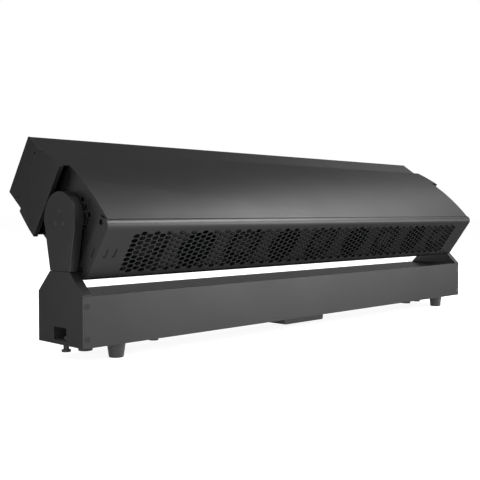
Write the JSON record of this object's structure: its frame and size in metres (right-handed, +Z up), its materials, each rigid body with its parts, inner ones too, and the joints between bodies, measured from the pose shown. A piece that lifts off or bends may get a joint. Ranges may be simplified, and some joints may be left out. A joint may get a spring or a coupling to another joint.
{
  "type": "led pixel bar",
  "caption": "Long floor-standing pixel bar: a base box with an arm at each end carries a motorised tilting head with a row of lenses and a perforated vent panel.",
  "frame": {"origin": "on the plane the rubber feet stand on, below the middle of the bar and under the tilt axis", "axes": "X along the bar, -Y the way the lenses look, Z up from the floor"},
  "size_m": [1, 0.2339, 0.3159],
  "materials": {
    "dark_paint": "fine textured powder coat",
    "plain_steel": "zinc plated sheet",
    "black_screw": "black zinc",
    "rubber": "matte",
    "black_plastic": "matte",
    "key_plastic": "matte",
    "cast_alloy": "bead blasted",
    "bare_alloy": "extruded",
    "board": "solder resist",
    "led_board": "white solder resist",
    "emitter": "domed",
    "lens": "polished",
    "window": "polished",
    "bronze": "sintered",
    "belt": "matte",
    "cable": "matte",
    "spring_steel": "bright"
  },
  "bodies": {
    "base": {"base_tray": "dark_paint", "back_panel": "dark_paint", "front_panel": "dark_paint", "top_cover": "dark_paint", "end_plate_left": "plain_steel", "end_plate_right": "plain_steel", "end_cover_left": "dark_paint", "end_cover_right": "dark_paint", "arm_cover_left": "dark_paint", "arm_cover_right": "dark_paint", "rubber_feet": "rubber", "underside_screws": "black_screw", "panel_screws": "black_screw", "arm_screws": "black_screw", "centre_bracket": "dark_paint", "rigging_bosses": "dark_paint", "coupling_blocks": "cast_alloy", "plunger_springs": "spring_steel", "end_brackets": "plain_steel", "power_supply": "plain_steel", "control_board": "board", "display_module": "black_plastic", "power_connectors": "black_plastic", "data_connectors": "black_plastic", "tilt_motor": "black_plastic", "tilt_belt": "belt", "tilt_bushes": "bronze", "head_cable": "cable"},
    "head": {"lens_hood": "dark_paint", "cheek_left": "dark_paint", "cheek_right": "dark_paint", "upper_cover": "dark_paint", "lower_cover": "dark_paint", "vent_panel": "dark_paint", "side_plate_left": "dark_paint", "side_plate_right": "dark_paint", "fan_plate": "dark_paint", "fan_frames": "black_plastic", "heat_sink": "bare_alloy", "led_board": "led_board", "led_emitters": "emitter", "lens_plate": "black_plastic", "lenses": "lens", "front_window": "window", "tilt_hubs": "cast_alloy", "head_pulley": "bare_alloy", "driver_boards": "board", "head_screws": "black_screw"},
    "plunger_left": {"plunger_left": "black_screw"},
    "plunger_right": {"plunger_right": "black_screw"},
    "menu_button_1": {"menu_button_1": "key_plastic"},
    "menu_button_2": {"menu_button_2": "key_plastic"},
    "menu_button_3": {"menu_button_3": "key_plastic"},
    "menu_button_4": {"menu_button_4": "key_plastic"},
    "motor_pulley": {"motor_pulley": "bare_alloy"},
    "fan_rotor_1": {"fan_rotor_1": "black_plastic"},
    "fan_rotor_2": {"fan_rotor_2": "black_plastic"},
    "fan_rotor_3": {"fan_rotor_3": "black_plastic"},
    "fan_rotor_4": {"fan_rotor_4": "black_plastic"},
    "fan_rotor_5": {"fan_rotor_5": "black_plastic"}
  },
  "joints": [
    {"name": "head_tilt", "type": "hinge", "parent": "base", "child": "head", "pos_m": [0, 0, 0.1956], "axis": [-1, 0, 0], "range_deg": [-45, 155]},
    {"name": "motor_spin", "type": "hinge", "parent": "base", "child": "motor_pulley", "pos_m": [0.49, 0, 0.0686], "axis": [-1, 0, 0], "range_deg": [-200, 640]},
    {"name": "fan_spin_1", "type": "hinge", "parent": "head", "child": "fan_rotor_1", "pos_m": [-0.39917, 0.05521, 0.15694], "axis": [0, -0.8192, 0.5736], "continuous": true},
    {"name": "fan_spin_2", "type": "hinge", "parent": "head", "child": "fan_rotor_2", "pos_m": [-0.19958, 0.05521, 0.15694], "axis": [0, -0.8192, 0.5736], "continuous": true},
    {"name": "fan_spin_3", "type": "hinge", "parent": "head", "child": "fan_rotor_3", "pos_m": [0, 0.05521, 0.15694], "axis": [0, -0.8192, 0.5736], "continuous": true},
    {"name": "fan_spin_4", "type": "hinge", "parent": "head", "child": "fan_rotor_4", "pos_m": [0.19958, 0.05521, 0.15694], "axis": [0, -0.8192, 0.5736], "continuous": true},
    {"name": "fan_spin_5", "type": "hinge", "parent": "head", "child": "fan_rotor_5", "pos_m": [0.39917, 0.05521, 0.15694], "axis": [0, -0.8192, 0.5736], "continuous": true},
    {"name": "plunger_left_pull", "type": "slide", "parent": "base", "child": "plunger_left", "axis": [0, 0, -1], "range_m": [0, 0.007], "stiffness_N_per_m": 600, "springref_m": -0.004},
    {"name": "plunger_right_pull", "type": "slide", "parent": "base", "child": "plunger_right", "axis": [0, 0, -1], "range_m": [0, 0.007], "stiffness_N_per_m": 600, "springref_m": -0.004},
    {"name": "menu_button_1_press", "type": "slide", "parent": "base", "child": "menu_button_1", "axis": [0, 1, 0], "range_m": [0, 0.001], "stiffness_N_per_m": 800, "springref_m": -0.0008},
    {"name": "menu_button_2_press", "type": "slide", "parent": "base", "child": "menu_button_2", "axis": [0, 1, 0], "range_m": [0, 0.001], "stiffness_N_per_m": 800, "springref_m": -0.0008},
    {"name": "menu_button_3_press", "type": "slide", "parent": "base", "child": "menu_button_3", "axis": [0, 1, 0], "range_m": [0, 0.001], "stiffness_N_per_m": 800, "springref_m": -0.0008},
    {"name": "menu_button_4_press", "type": "slide", "parent": "base", "child": "menu_button_4", "axis": [0, 1, 0], "range_m": [0, 0.001], "stiffness_N_per_m": 800, "springref_m": -0.0008}
  ],
  "couplings": [
    {"joint": "motor_spin", "follows": "head_tilt", "ratio": 4}
  ]
}
